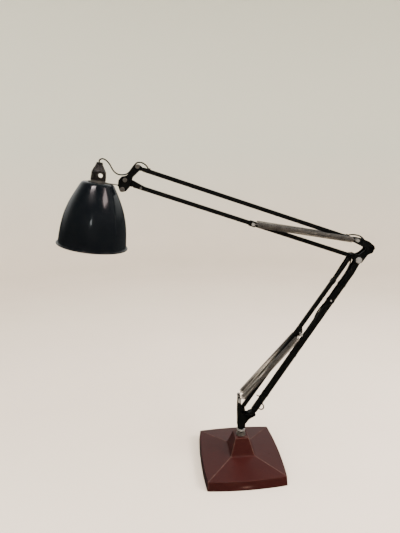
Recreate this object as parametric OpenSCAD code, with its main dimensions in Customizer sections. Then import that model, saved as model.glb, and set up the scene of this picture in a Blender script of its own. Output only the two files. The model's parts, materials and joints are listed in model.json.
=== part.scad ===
// Architect desk lamp: a square weighted base, a swivelling bracket, two sprung
// parallel-link arms and a tilting spun shade. Millimetres, +Z up.
// The origin is the centre of the base's underside. The arms move in the XZ plane,
// with the elbow towards +X and the shade towards -X.

/* [Base] */
// Side of the base between its corners
base_w = 194; // [180:1:210]
// How far each side of the base bows outwards
base_bow = 5.5; // [4:0.5:12]
// Height of the base's upright skirt
skirt_h = 24; // [18:1:30]
// Height of the foot of the raised block
slope_h = 34; // [32:1:38]
// Height of the raised block's top
block_h = 77; // [70:1:85]
// Side of the block at its foot
block_foot = 61; // [54:1:68]
// Side of the block at its top
block_top = 34; // [32:1:38]
// Turn of the base about the stem, away from the arms' plane
base_turn = 5.6; // [-45:0.5:45]

/* [Lower arm] */
// Main pivot of the lower arm on the bracket, X and Z
arm_foot = [20.5, 136];
// From the main pivot to the control pivot, at the bracket and at the elbow
lower_link = [-16.5, 11];
// Main pivot at the elbow, X and Z
elbow = [254.5, 535.3];
// Depth of the main tube in the arms' plane
main_tube = 13.4; // [12:0.1:14]
// Depth of the lower control tube in the arms' plane
thin_deep = 9.3; // [8:0.1:9.4]
// Width of the lower control tube across that plane
thin_tube = 7.8; // [7:0.1:8.4]

/* [Upper arm] */
// From the lower pivot to the upper pivot, at the elbow and at the head
upper_link = [28, 28];
// Lower pivot of the head, X and Z
head_pivot = [-265.8, 712.8];
// Depth of the upper tubes in the arms' plane
upper_deep = 9.4; // [8:0.1:10]
// Width of the upper tubes across that plane
upper_tube = 8.4; // [8:0.1:8.4]

/* [Springs] */
// Outer diameter of a spring
spring_d = 13.5; // [12:0.5:13.5]
// Wire diameter of a spring
spring_wire = 1.5; // [1.2:0.1:2]
// Distance from the arms' plane to a spring's axis
spring_y = 14; // [13.8:0.1:16]
// Stud of the lower springs on the bracket, X and Z
lower_stud = [-6.8, 181.5];
// Place of the lower springs' pin along the lower control tube
lower_pin_at = 235.3; // [220:0.1:260]
// Stud of the upper springs on the elbow, X and Z
upper_stud = [245.4, 582];
// Place of the upper springs' pin along the upper control tube
upper_pin_at = 239.5; // [225:0.1:265]

/* [Shade] */
// Diameter over the shade's rolled rim
rim_d = 157.4; // [150:0.2:165]
// Height of the shade
shade_h = 142; // [136:1:148]
// Tilt bolt of the shade, X and Z
tilt_pivot = [-272.3, 692.8];
// Centre of the shade's rim, X and Z
rim_centre = [-347.6, 566.8];
// Lean of the shade from upright
shade_lean = 8.6; // [5:0.1:14]
// Diameter of the lampholder's body
holder_d = 33; // [31:0.5:36]

/* [Hidden] */
$fn = 64;

// Colours
maroon = [0.29, 0.13, 0.12];
enamel = [0.05, 0.05, 0.055];
bakelite = [0.08, 0.06, 0.05];
bright = [0.72, 0.71, 0.68];
dull_steel = [0.45, 0.43, 0.41];
spring_grey = [0.5, 0.47, 0.43];
brass = [0.72, 0.58, 0.32];
iron = [0.25, 0.25, 0.26];
cord_black = [0.06, 0.055, 0.05];
felt = [0.18, 0.24, 0.19];
white = [0.92, 0.91, 0.88];

// Layers across the arms' plane, as distances from it
tine_in = 4.7;
tine_t = 1.6;
yoke_y = tine_in + tine_t;
main_y = 6;
plate_in = 6.8;
plate_t = 2;
plate_out = plate_in + plate_t;
washer_t = 0.8;
head_t = 2.6;
stud_end = 18;

// Round fits
bolt_r = 3;
bolt_hole = bolt_r + 0.05;
loose_hole = bolt_r + 0.15;
screw_r = 2.5;
screw_hole = screw_r + 0.15;
pin_r = 2.2;
wall = 1;
shade_wall = 1.2;
stem_r = 7;
socket_r = 10;
flex_r = 1.6;
hook_r = spring_wire / 2;

// Pivots worked out from the links
arm_foot_control = arm_foot + lower_link;
elbow_control = elbow + lower_link;
elbow_top = elbow + upper_link;
head_top = head_pivot + upper_link;

// Directions in the arms' plane, written [X, Z]
function way(a, b) = (b - a) / norm(b - a);
function side(a, b) = [way(a, b)[1], -way(a, b)[0]];
function off(a, b, along, across) = a + way(a, b) * along + side(a, b) * across;

// Where each tube starts and ends, with its small offset from the line of its pivots
main_clevis = 30;
thin_clevis = 66;
yoke_len = 10;
main_a = off(arm_foot, elbow, 14, 3.3);
main_b = off(elbow, arm_foot, main_clevis + yoke_len, -4.1);
thin_a = off(arm_foot_control, elbow_control, 12, -5.8);
thin_b = off(elbow_control, arm_foot_control, thin_clevis + yoke_len, -0.8);
top_a = off(elbow_top, head_top, 14, 4.6);
top_b = off(head_top, elbow_top, 12, 2.3);
low_a = off(elbow, head_pivot, 16, 3.6);
low_b = off(head_pivot, elbow, 20, 5.4);
lower_pin = off(thin_a, thin_b, lower_pin_at, 7);
upper_pin = off(low_a, low_b, upper_pin_at, 0.5);

// The shade's own frame: u up its axis, v out across it, from the rim's centre
function shade_at(u, v) = rim_centre + u * [sin(shade_lean), cos(shade_lean)]
    + v * [cos(shade_lean), -sin(shade_lean)];

// ---------- shared shapes ----------

// A slab between y and y + t, drawn as a shape in the arms' plane
module slab(y, t) {
    translate([0, y + t, 0]) rotate([90, 0, 0]) linear_extrude(t) children();
}

module both_slabs(y, t) {
    slab(y, t) children();
    slab(-y - t, t) children();
}

// Two discs joined by straight sides, which run a hair inside their tangents
tangent_in = 0.03;
module strap2d(a, ra, b, rb) {
    turn = acos((ra - rb) / norm(b - a));
    dir = atan2(b[1] - a[1], b[0] - a[0]);
    translate(a) circle(ra);
    translate(b) circle(rb);
    polygon([for (p = [[a, ra, 1], [b, rb, 1], [b, rb, -1], [a, ra, -1]])
        p[0] + (p[1] - tangent_in) * [cos(dir + p[2] * turn), sin(dir + p[2] * turn)]]);
}

// A polygon whose corners are rounded: each corner is [point, radius]
function corner(a, b, c, r) = let (
        u = way(b, a), v = way(b, c), half = acos(u * v) / 2,
        mid = b + (u + v) / norm(u + v) * r / sin(half),
        from = b + u * r / tan(half) - mid,
        turned = u[0] * v[1] - u[1] * v[0] > 0 ? -1 : 1,
        sweep = turned * (180 - 2 * half), steps = 7)
    [for (k = [0 : steps]) let (s = sweep * k / steps)
        mid + [from[0] * cos(s) - from[1] * sin(s), from[0] * sin(s) + from[1] * cos(s)]];
function rounded(list) = [for (i = [0 : len(list) - 1]) let (
        n = len(list), a = list[(i + n - 1) % n][0], c = list[(i + 1) % n][0])
    each corner(a, list[i][0], c, list[i][1])];

// A round bar across the arms' plane, from y1 to y2
module cross_bar(p, r, y1, y2) {
    translate([p[0], y2, p[1]]) rotate([90, 0, 0]) cylinder(h = y2 - y1, r = r);
}

// Children stand on point a, with their +Z towards b and their Y across the plane
module along(a, b) {
    translate([a[0], 0, a[1]]) rotate([0, atan2(b[0] - a[0], b[1] - a[1]), 0]) children();
}

module rounded_rect(w, d, r) {
    square([w - 2 * r, d], center = true);
    square([w, d - 2 * r], center = true);
    for (x = [-1, 1], y = [-1, 1]) translate([x * (w / 2 - r), y * (d / 2 - r)]) circle(r);
}

module tube(a, b, w, d, t) {
    along(a, b) linear_extrude(norm(b - a)) difference() {
        rounded_rect(w, d, 1.2);
        rounded_rect(w - 2 * t, d - 2 * t, 0.6);
    }
}

// The plug that holds an end fitting in a tube, from a towards b
module plug(a, b, w, d, length) {
    along(a, b) linear_extrude(length) rounded_rect(w - 0.1, d - 0.1, 0.8);
}

// A cheese head with a washer under it, on the +Y side (s = 1) or the -Y side (s = -1)
module bolt_head(p, s, head_r, washer_r, slot) {
    y = s * plate_out;
    far = y + s * (washer_t + head_t);
    cross_bar(p, washer_r, min(y, y + s * washer_t), max(y, y + s * washer_t));
    difference() {
        cross_bar(p, head_r, min(y, far), max(y, far));
        if (slot)
            translate([p[0], far, p[1]]) rotate([0, 35, 0]) cube([12, 1.8, 1.1], center = true);
    }
}

module bolt(p, head_r, washer_r) {
    cross_bar(p, bolt_r, -plate_out - 0.5, plate_out + 0.5);
    bolt_head(p, -1, head_r, washer_r, true);
    bolt_head(p, 1, head_r, washer_r, false);
}

module spacer(p, y1, y2, r) {
    difference() {
        union() {
            cross_bar(p, r, y1, y2);
            cross_bar(p, r, -y2, -y1);
        }
        cross_bar(p, bolt_r + 0.1, -y2 - 1, y2 + 1);
    }
}

// A smooth tube along a list of points, swept as one polyhedron
function unit(v) = v / norm(v);
function tangent(p, i) = unit(p[min(i + 1, len(p) - 1)] - p[max(i - 1, 0)]);
function carried(p, i) = i == 0
    ? unit(cross(tangent(p, 0), [0.31, 0.9, 0.22]))
    : let (n = carried(p, i - 1), t = tangent(p, i)) unit(n - t * (n * t));
function mixed(p, s) = let (
        i = min(floor(s), len(p) - 2), f = s - i,
        a = p[max(i - 1, 0)], b = p[i], c = p[i + 1], d = p[min(i + 2, len(p) - 1)])
    0.5 * (2 * b + f * (c - a) + f * f * (2 * a - 5 * b + 4 * c - d)
        + f * f * f * (3 * b - a - 3 * c + d));
function smooth(p, steps) = [for (k = [0 : steps * (len(p) - 1)]) mixed(p, k / steps)];
flex_sides = 8;
module swept(route, r, steps) {
    path = smooth(route, steps);
    last = len(path) - 1;
    rings = [for (i = [0 : last]) let (t = tangent(path, i), n = carried(path, i), m = cross(t, n))
        for (k = [0 : flex_sides - 1])
            path[i] + r * (n * cos(360 * k / flex_sides) + m * sin(360 * k / flex_sides))];
    faces = concat(
        [[for (k = [0 : flex_sides - 1]) k]],
        [for (i = [0 : last - 1], k = [0 : flex_sides - 1]) let (j = (k + 1) % flex_sides)
            [i * flex_sides + k, (i + 1) * flex_sides + k,
                (i + 1) * flex_sides + j, i * flex_sides + j]],
        [[for (k = [flex_sides - 1 : -1 : 0]) last * flex_sides + k]]);
    polyhedron(rings, faces, convexity = 4);
}

// ---------- base ----------

// A square with bowed sides, as four large discs cut together
module bowed_square(w, bow) {
    big = (w * w / 4 + bow * bow) / (2 * bow);
    shift = big - bow - w / 2;
    intersection() {
        translate([shift, 0]) circle(big, $fn = 360);
        translate([-shift, 0]) circle(big, $fn = 360);
        translate([0, shift]) circle(big, $fn = 360);
        translate([0, -shift]) circle(big, $fn = 360);
    }
}

skirt_draft = 2;
module base_form(inset, drop) {
    w = base_w - 2 * inset;
    hull() {
        translate([0, 0, -drop]) linear_extrude(0.5) bowed_square(w, base_bow);
        translate([0, 0, skirt_h - inset - 0.5]) linear_extrude(0.5)
            bowed_square(w - 2 * skirt_draft, base_bow);
    }
    hull() {
        translate([0, 0, skirt_h - inset - 0.5]) linear_extrude(0.5)
            bowed_square(w - 2 * skirt_draft, base_bow);
        translate([0, 0, slope_h - inset]) linear_extrude(0.5)
            square(block_foot - inset, center = true);
    }
    hull() {
        translate([0, 0, slope_h - inset - 0.5]) linear_extrude(0.5)
            square(block_foot - inset, center = true);
        translate([0, 0, block_h - inset - 0.5]) linear_extrude(0.5)
            square(block_top - 2 * inset, center = true);
    }
}

pad_h = 2;
cover_t = 2;
gland_z = 12;
gland_r = 5;
gland_end = 105.2;
module base_cover() {
    color(maroon) rotate(base_turn) difference() {
        translate([0, 0, 0.8]) intersection() {
            base_form(0, 0);
            translate([0, 0, 100]) cube([300, 300, 200], center = true);
        }
        translate([0, 0, 0.8]) base_form(cover_t, 5);
        translate([0, 0, 40]) cylinder(h = 60, r = socket_r + 0.05);
        translate([0, 120, gland_z]) rotate([90, 0, 0]) cylinder(h = 60, r = gland_r + 0.05);
    }
}

weight_w = 150;
weight_top = 26;
module base_weight() {
    color(iron) rotate(base_turn) difference() {
        translate([0, 0, pad_h]) union() {
            linear_extrude(weight_top - 8) rounded_rect(weight_w, weight_w, 12);
            linear_extrude(weight_top) rounded_rect(50, 50, 6);
        }
        translate([0, 0, -1]) cylinder(h = 60, r = socket_r + 0.05);
        translate([0, 0, -1]) cylinder(h = 11, r = 16);
    }
}

module base_pad() {
    color(felt) rotate(base_turn) linear_extrude(pad_h) difference() {
        intersection() {
            bowed_square(base_w - 6, base_bow);
            square(base_w + 12, center = true);
        }
        circle(18);
    }
}

socket_top = 88;
socket_low = 6;
module stem_socket() {
    color(dull_steel) difference() {
        union() {
            translate([0, 0, socket_low]) cylinder(h = socket_top - socket_low, r = socket_r);
            translate([0, 0, block_h + 0.8]) cylinder(h = 3, r = socket_r + 1.5);
        }
        translate([0, 0, 40]) cylinder(h = 60, r = stem_r + 0.05);
        translate([0, 0, -1]) cylinder(h = 60, r = 4);
    }
}

module socket_nut() {
    color(dull_steel) difference() {
        translate([0, 0, 3]) cylinder(h = 6.9, r = 15, $fn = 6);
        translate([0, 0, 2]) cylinder(h = 20, r = socket_r + 0.05);
    }
}

// The mains lead's rubber gland, through the back of the skirt
module cable_gland() {
    color(cord_black) rotate(base_turn) difference() {
        union() {
            translate([0, gland_end, gland_z]) rotate([90, 0, 0]) cylinder(h = 14, r = gland_r);
            translate([0, gland_end, gland_z]) rotate([90, 0, 0]) cylinder(h = 2.8, r = gland_r + 2.5);
        }
        translate([0, 120, gland_z]) rotate([90, 0, 0]) cylinder(h = 40, r = 3);
    }
}

// ---------- bracket on its stem ----------

hub_low = 101;
module stem() {
    color(enamel) difference() {
        translate([0, 0, 42]) cylinder(h = hub_low - 42, r = stem_r);
        translate([0, 0, 30]) cylinder(h = 100, r = 3.5);
    }
}

module stem_washer() {
    color(bright) difference() {
        translate([0, 0, 92]) cylinder(h = 3.4, r = 10.5);
        translate([0, 0, 90]) cylinder(h = 10, r = stem_r);
    }
}

hub_outline = [[-9.4, hub_low], [9.4, hub_low], [9.6, 122], [-10, 128]];
module bracket_hub() {
    color(enamel) difference() {
        slab(-plate_in, 2 * plate_in) polygon(hub_outline);
        translate([0, 0, 90]) cylinder(h = 24, r = 3.5);
        translate([0, 30, 112]) rotate([90, 0, 0]) cylinder(h = 32, r = 2.2);
    }
}

cheek_outline = rounded([
    [[-9.8, hub_low], 1], [[9.8, hub_low], 2], [[10, 112.5], 6], [[19.5, 126.5], 9],
    [[35, 136], 5], [[35.7, 145], 5], [[21, 143.5], 4], [[8, 135.5], 4], [[9.6, 151], 4.6],
    [[-1.6, 158], 8], [[-2.9, 186.4], 2.6], [[-10.6, 186.4], 2.6], [[-11, 150], 30]]);
module cheek2d() {
    polygon(cheek_outline);
}

module bracket_front() {
    color(enamel) difference() {
        slab(-plate_out, plate_t) cheek2d();
        for (p = [arm_foot, arm_foot_control]) cross_bar(p, bolt_r, -plate_out - 1, 0);
        cross_bar(lower_stud, pin_r, -plate_out - 1, 0);
    }
}

module bracket_back() {
    color(enamel) difference() {
        slab(plate_in, plate_t) cheek2d();
        for (p = [arm_foot, arm_foot_control]) cross_bar(p, bolt_r, 0, plate_out + 1);
        cross_bar(lower_stud, pin_r, 0, plate_out + 1);
        cross_bar([0, 112], 2.2, 0, plate_out + 1);
    }
}

module bracket_bolts() {
    color(dull_steel) {
        bolt(arm_foot, 4.6, 6);
        bolt(arm_foot_control, 4.2, 5);
    }
}

// A stud for a spring's eye on each side, with a flange outside the spring
module spring_studs(p) {
    for (s = [-1, 1]) {
        cross_bar(p, pin_r, min(s * plate_in, s * stud_end), max(s * plate_in, s * stud_end));
        cross_bar(p, 3.6, min(s * (stud_end - 1.2), s * stud_end),
            max(s * (stud_end - 1.2), s * stud_end));
        cross_bar(p, 3.6, min(s * plate_out, s * (plate_out + 1.4)),
            max(s * plate_out, s * (plate_out + 1.4)));
    }
}

module lower_spring_studs() {
    color(bright) spring_studs(lower_stud);
}

// ---------- lower arm ----------

// An end fitting with one eye, between the tube's end and its pivot, held in the tube by a plug
module eye_end(pivot, tube_end, tube_far, eye_r, half_y, w, d, hole, held = 14) {
    difference() {
        union() {
            slab(-half_y, 2 * half_y) strap2d(pivot, eye_r, off(tube_end, tube_far, -w / 2, 0), w / 2);
            plug(off(tube_end, tube_far, -w / 2, 0), tube_far, w - 2 * wall, d - 2 * wall,
                held + w / 2);
        }
        cross_bar(pivot, hole, -20, 20);
    }
}

// An end fitting with two tines, so that another rod can turn between them
module clevis_end(pivot, tube_end, tube_far, eye_r, tine_half, w, d, hole) {
    throat = off(tube_end, tube_far, -yoke_len, 0);
    difference() {
        union() {
            both_slabs(tine_in, tine_t) strap2d(pivot, eye_r, throat, tine_half);
            along(throat, tube_end) linear_extrude(yoke_len)
                rounded_rect(w, 2 * yoke_y + 0.1, 1.2);
            plug(off(tube_end, tube_far, -4, 0), tube_far, w - 2 * wall, d - 2 * wall, 18);
        }
        cross_bar(pivot, hole, -20, 20);
    }
}

module lower_arm_tube() {
    color(enamel) tube(main_a, main_b, main_tube, 2 * main_y, wall);
}

module lower_arm_ends() {
    color(enamel) {
        eye_end(arm_foot, main_a, main_b, 7.5, main_y, main_tube, 2 * main_y, bolt_hole);
        clevis_end(elbow, main_b, main_a, 7.2, 6, main_tube, 2 * main_y, bolt_hole);
    }
}

// Saddle straps that hold the flex to the main tube, at distances from the elbow
strap_w = 6;
strap_t = 0.7;
clip_at = 394;
flex_x = main_tube / 2 + flex_r + 0.1;
flex_y = main_y + flex_r + 0.1;
straps = [[66, flex_x, 1], [111, flex_x, 1], [270, 0, flex_y], [clip_at, 0, flex_y]];
function by_tube(d, across) = off(main_b, main_a, d - main_clevis - yoke_len, across);
function arm_back(d, across, y) = [by_tube(d, across)[0], y, by_tube(d, across)[1]];
module on_arm(d) {
    along(by_tube(d, 0), main_a) children();
}
module saddle(d, across, y) {
    on_arm(d) translate([0, 0, -strap_w / 2]) linear_extrude(strap_w) difference() {
        union() {
            rounded_rect(main_tube + 2 * strap_t, 2 * main_y + 2 * strap_t, 1.8);
            translate([across, y]) circle(flex_r + 0.9);
        }
        rounded_rect(main_tube + 0.1, 2 * main_y + 0.1, 1.25);
        translate([across, y]) circle(flex_r + 0.1);
    }
}

module flex_straps() {
    color(enamel) {
        for (a = straps) saddle(a[0], a[1], a[2]);
        on_arm(straps[1][0]) translate([1.8, -main_y - strap_t + 0.2, 0]) rotate([90, 0, 0])
            cylinder(h = 1.4, r = 2);
        slab(-1, 2) union() {
            strap2d([50.8, 196], 1, [44.2, 186], 1);
            strap2d([44.2, 186], 1, [38.6, 187.6], 1);
            strap2d([38.6, 187.6], 1, [37.4, 189], 1);
        }
    }
}

// The flex runs along the main tube's inner face above and along its back below
flex_on_tube = [
    arm_back(50.4, flex_x, 1), arm_back(84, flex_x, 1), arm_back(118, flex_x, 1),
    arm_back(132, flex_x, 3.5), arm_back(146, flex_x - 0.2, 6.2), arm_back(158, 6.6, 7.8),
    arm_back(172, 3.5, 7.9), arm_back(190, 0.5, flex_y), arm_back(230, 0, flex_y),
    arm_back(320, 0, flex_y), arm_back(399.3, 0, flex_y)];
module flex_lower() {
    color(cord_black) swept(flex_on_tube, flex_r, 2);
}

module lower_control_tube() {
    color(enamel) tube(thin_a, thin_b, thin_deep, thin_tube, wall);
}

module lower_control_ends() {
    color(enamel) {
        eye_end(arm_foot_control, thin_a, thin_b, 5.5, thin_tube / 2, thin_deep, thin_tube, bolt_hole);
        clevis_end(elbow_control, thin_b, thin_a, 4.3, 2.8, thin_deep, thin_tube, screw_hole);
    }
}

// Plates riveted to the sides of the lower control tube, which hold the springs' pin
anchor_at = off(thin_a, thin_b, lower_pin_at, 0);
module lower_spring_anchor() {
    color(enamel) difference() {
        both_slabs(thin_tube / 2 + 0.05, 1.6) polygon(rounded([
            [off(anchor_at, thin_b, -18, -3.4), 3], [off(anchor_at, thin_b, 16, -3.4), 3],
            [off(anchor_at, thin_b, 14, 4), 3], [off(anchor_at, thin_b, 4.5, 11), 3.4],
            [off(anchor_at, thin_b, -4.5, 11), 3.4], [off(anchor_at, thin_b, -17, 4), 3]]));
        cross_bar(lower_pin, pin_r, -20, 20);
    }
}

// A pin through the plates, with a flange outside each spring
module spring_pin(p) {
    cross_bar(p, pin_r, -stud_end, stud_end);
    for (s = [-1, 1])
        cross_bar(p, 3.6, min(s * (stud_end - 1.2), s * stud_end),
            max(s * (stud_end - 1.2), s * stud_end));
}

module lower_spring_pin() {
    color(bright) spring_pin(lower_pin);
}

// ---------- elbow ----------

elbow_outline = rounded([
    [[247, 527.5], 6], [[261.5, 528.5], 7], [[274.5, 548.8], 10], [[285, 552.3], 6.5],
    [[288, 567.5], 6.5], [[274.5, 578.2], 9], [[262, 583.5], 12], [[239.4, 588], 4.4],
    [[240, 576.5], 4], [[269.6, 562], 2.5], [[253.5, 547.6], 3], [[242, 551.4], 4.5],
    [[231.5, 547], 3.6], [[233.5, 540.6], 3.4], [[244.3, 540.3], 2.5]]);
module elbow2d() {
    polygon(elbow_outline);
}

module elbow_front() {
    color(enamel) difference() {
        slab(-plate_out, plate_t) elbow2d();
        for (p = [elbow, elbow_top]) cross_bar(p, bolt_r, -plate_out - 1, 0);
        cross_bar(elbow_control, screw_r, -plate_out - 1, 0);
        cross_bar(upper_stud, pin_r, -plate_out - 1, 0);
    }
}

module elbow_back() {
    color(enamel) difference() {
        slab(plate_in, plate_t) elbow2d();
        for (p = [elbow, elbow_top]) cross_bar(p, bolt_r, 0, plate_out + 1);
        cross_bar(elbow_control, screw_r, 0, plate_out + 1);
        cross_bar(upper_stud, pin_r, 0, plate_out + 1);
    }
}

module elbow_main_bolt() {
    color(bright) bolt(elbow, 5.6, 7.2);
}

module elbow_upper_bolt() {
    color(dull_steel) {
        bolt(elbow_top, 4.2, 5.2);
        spacer(elbow_top, upper_tube / 2 + 0.3, plate_in - 0.05, 5);
    }
}

// Shoulder screws for the control tube's clevis: they stop short of the upper rods
module elbow_screws() {
    color(dull_steel) for (s = [-1, 1]) {
        cross_bar(elbow_control, screw_r, min(s * tine_in, s * plate_out), max(s * tine_in, s * plate_out));
        cross_bar(elbow_control, 4.2, min(s * plate_out, s * (plate_out + 2.2)),
            max(s * plate_out, s * (plate_out + 2.2)));
    }
}

module upper_spring_studs() {
    color(bright) spring_studs(upper_stud);
}

// ---------- upper arm ----------

// Places along the top tube where the flex goes in and comes out
grommet_a = off(top_a, top_b, 47, 0);
grommet_b = off(top_b, top_a, 11.5, 0);
module grommet_hole(p, q, r) {
    along(p, q) translate([upper_deep / 2, 0, 0]) rotate([0, 90, 0])
        translate([0, 0, -4]) cylinder(h = 9, r = r);
}

module upper_arm_tube() {
    color(enamel) difference() {
        tube(top_a, top_b, upper_deep, upper_tube, wall);
        grommet_hole(grommet_a, top_b, 2.6);
        grommet_hole(grommet_b, top_b, 2.6);
    }
}

module upper_arm_ends() {
    color(enamel) {
        eye_end(elbow_top, top_a, top_b, 5.8, upper_tube / 2, upper_deep, upper_tube, bolt_hole);
        eye_end(head_top, top_b, top_a, 5, upper_tube / 2, upper_deep, upper_tube, bolt_hole, 5);
    }
}

module flex_grommets() {
    color(cord_black) for (g = [grommet_a, grommet_b])
        along(g, top_b) rotate([0, 90, 0]) difference() {
            union() {
                translate([0, 0, upper_deep / 2 - 1]) cylinder(h = 1.2, r = 2.55);
                translate([0, 0, upper_deep / 2 + 0.02]) cylinder(h = 2, r = 4);
            }
            cylinder(h = 20, r = flex_r + 0.05);
        }
}

module flex_upper() {
    color(cord_black) along(off(grommet_a, top_b, 8, 0), top_b)
        cylinder(h = norm(grommet_b - grommet_a) - 16, r = flex_r);
}

rivet_r = 1.5;
rivet_at = off(low_b, low_a, 17, 1);
module control_rivet() {
    color(dull_steel) {
        cross_bar(rivet_at, rivet_r - 0.02, -upper_tube / 2 - 1, upper_tube / 2 + 1);
        for (s = [-1, 1]) translate([rivet_at[0], s * (upper_tube / 2 + 0.7), rivet_at[1]])
            rotate([90, 0, 0]) cylinder(h = 1.3, r = 2.8, center = true);
    }
}

module upper_control_tube() {
    color(enamel) difference() {
        tube(low_a, low_b, upper_deep, upper_tube, wall);
        cross_bar(upper_pin, pin_r + 0.02, -20, 20);
        cross_bar(rivet_at, rivet_r, -20, 20);
    }
}

module upper_control_ends() {
    color(enamel) {
        eye_end(elbow, low_a, low_b, 6, upper_tube / 2, upper_deep, upper_tube, bolt_hole);
        eye_end(head_pivot, low_b, low_a, 5.6, upper_tube / 2, upper_deep, upper_tube, loose_hole);
        slab(-upper_tube / 2, upper_tube) strap2d(off(head_pivot, elbow, 15, -1.5), 3,
            off(low_b, low_a, 26, -2.6), 1.5);
    }
}

// The saddle round the upper control tube that backs the springs' pin
module upper_spring_anchor() {
    color(enamel) difference() {
        along(off(low_a, low_b, upper_pin_at - 7, 0), low_b) linear_extrude(14) difference() {
            rounded_rect(upper_deep + 3.2, upper_tube + 3.2, 1.8);
            rounded_rect(upper_deep + 0.1, upper_tube + 0.1, 1.25);
        }
        cross_bar(upper_pin, pin_r + 0.02, -20, 20);
    }
}

module upper_spring_pin() {
    color(bright) spring_pin(upper_pin);
}

// ---------- head ----------

head_outline = rounded([
    [[-280, 712.4], 3], [[-281.5, 702], 4], [tilt_pivot + [-5.5, -5.2], 4.5],
    [tilt_pivot + [4.5, -5.2], 5], [[-258.5, 697.8], 4], [[-251, 718.3], 4],
    [[-232.5, 735.5], 4.5], [[-234.5, 746.5], 5], [[-243.4, 743.6], 4.5], [[-260.5, 722.6], 12],
    [[-273, 720.2], 6]]);
module head2d() {
    polygon(head_outline);
}

module head_front() {
    color(enamel) difference() {
        slab(-plate_out, plate_t) head2d();
        for (p = [head_pivot, head_top, tilt_pivot]) cross_bar(p, bolt_r, -plate_out - 1, 0);
    }
}

module head_back() {
    color(enamel) difference() {
        slab(plate_in, plate_t) head2d();
        for (p = [head_pivot, head_top, tilt_pivot]) cross_bar(p, bolt_r, 0, plate_out + 1);
    }
}

module head_bolts() {
    color(dull_steel) {
        bolt(head_pivot, 4, 4.8);
        bolt(head_top, 4, 4.8);
    }
}

module tilt_bolt() {
    color(dull_steel) bolt(tilt_pivot, 4.4, 5.4);
}

module head_spacers() {
    color(dull_steel) {
        spacer(head_pivot, upper_tube / 2 + 0.3, plate_in - 0.05, 5);
        spacer(head_top, upper_tube / 2 + 0.3, plate_in - 0.05, 4.6);
    }
}

// ---------- shade and lampholder ----------

// Children are turned about the shade's axis, with +Z up it and the rim at Z = 0
module on_shade() {
    translate([rim_centre[0], 0, rim_centre[1]]) rotate([0, shade_lean, 0]) children();
}

// The spun wall's outline, from the rim up: a cubic curve
spun = [[74.9, 4], [71.8, 63.4], [63.6, 88.6], [35.6, shade_h - 3.6]];
function curve(c, s) = (1 - s) * (1 - s) * (1 - s) * c[0] + 3 * s * (1 - s) * (1 - s) * c[1]
    + 3 * s * s * (1 - s) * c[2] + s * s * s * c[3];
wall_steps = 14;
function wall_line(inset) = [for (k = [0 : wall_steps]) curve(spun, k / wall_steps) - [inset, 0]];
hole_r = 14.3;
bead_r = 2.2;
module shade() {
    outer = wall_line(0);
    inner = wall_line(shade_wall);
    color(enamel) on_shade() rotate_extrude($fn = 96) {
        polygon(concat(outer, [[31.5, shade_h], [hole_r, shade_h], [hole_r, shade_h - shade_wall],
            [30.9, shade_h - shade_wall]], [for (k = [wall_steps : -1 : 0]) inner[k]]));
        translate([rim_d / 2 - bead_r, bead_r]) circle(bead_r, $fn = 24);
        translate([73.8, bead_r]) square([2.2, 3]);
    }
}

// The carrier: a ring under the lampholder, an arm over the shade and a knuckle at the tilt bolt
ring_t = 2;
collar_t = 3;
arm_half = 5.5;
arm_t = 1.8;
module shade_bracket() {
    u0 = shade_h + 0.3;
    shoulder = shade_at(u0 + ring_t / 2, 44);
    color(dull_steel) difference() {
        union() {
            on_shade() translate([0, 0, u0]) cylinder(h = ring_t, r = 21);
            on_shade() translate([0, 0, u0]) cylinder(h = ring_t + collar_t, r = 16);
            slab(-arm_half, 2 * arm_half) union() {
                strap2d(shade_at(u0 + ring_t / 2, 18), arm_t / 2, shoulder, arm_t / 2);
                strap2d(shoulder, 1.4, tilt_pivot + [-3, 3.5], 2.4);
            }
            slab(-plate_in + 0.3, 2 * plate_in - 0.6) translate(tilt_pivot) circle(4.9);
        }
        on_shade() translate([0, 0, u0 - 5]) cylinder(h = 20, r = hole_r);
        cross_bar(tilt_pivot, bolt_hole, -20, 20);
    }
}

sleeve_r = 14;
module shade_ring() {
    color(bakelite) on_shade() difference() {
        translate([0, 0, shade_h - shade_wall - 8.1]) cylinder(h = 8, r = 18.5);
        translate([0, 0, shade_h - 30]) cylinder(h = 40, r = sleeve_r + 0.05);
    }
}

// The B22 bayonet socket: a sleeve through the shade and a wide body above it
socket_bore = 11.1;
sleeve_low = 26;
cap_deep = 19.5;
body_taper = 1;
bar_turn = 25;
bar_up = 11.2;
body_low = shade_h + ring_t + collar_t + 0.35;
body_top = body_low + 17.5;
module lampholder_body() {
    color(bakelite) on_shade() difference() {
        union() {
            translate([0, 0, shade_h - sleeve_low]) cylinder(h = 40, r = sleeve_r);
            translate([0, 0, body_low])
                cylinder(h = body_top - body_low, r1 = holder_d / 2, r2 = holder_d / 2 - body_taper);
        }
        translate([0, 0, shade_h - 40]) cylinder(h = 40 - sleeve_low + cap_deep, r = socket_bore);
        translate([0, 0, shade_h - sleeve_low + cap_deep]) cylinder(h = 14.5, r = socket_bore + 0.6);
        for (a = [0, 180]) rotate(a) translate([socket_bore - 1, -1.3, shade_h - 30])
            cube([2.4, 2.6, 13]);
        translate([0, 0, body_low + bar_up]) rotate([90, 0, bar_turn])
            cylinder(h = 60, r = 4.05, center = true);
    }
}

cap_h = 15;
module lampholder_cap() {
    color(bakelite) on_shade() translate([0, 0, body_top]) rotate_extrude($fn = 64) difference() {
        polygon([[0, 0], [holder_d / 2 - body_taper, 0], [holder_d / 2 - body_taper - 0.8, 1.8],
            [holder_d / 2 - 3.4, 4.8], [11.6, 8], [9.6, 11], [8.4, cap_h], [0, cap_h]]);
        translate([-1, 2]) square([3.2, cap_h]);
        translate([-1, -1]) square([13, 6]);
    }
}

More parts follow.
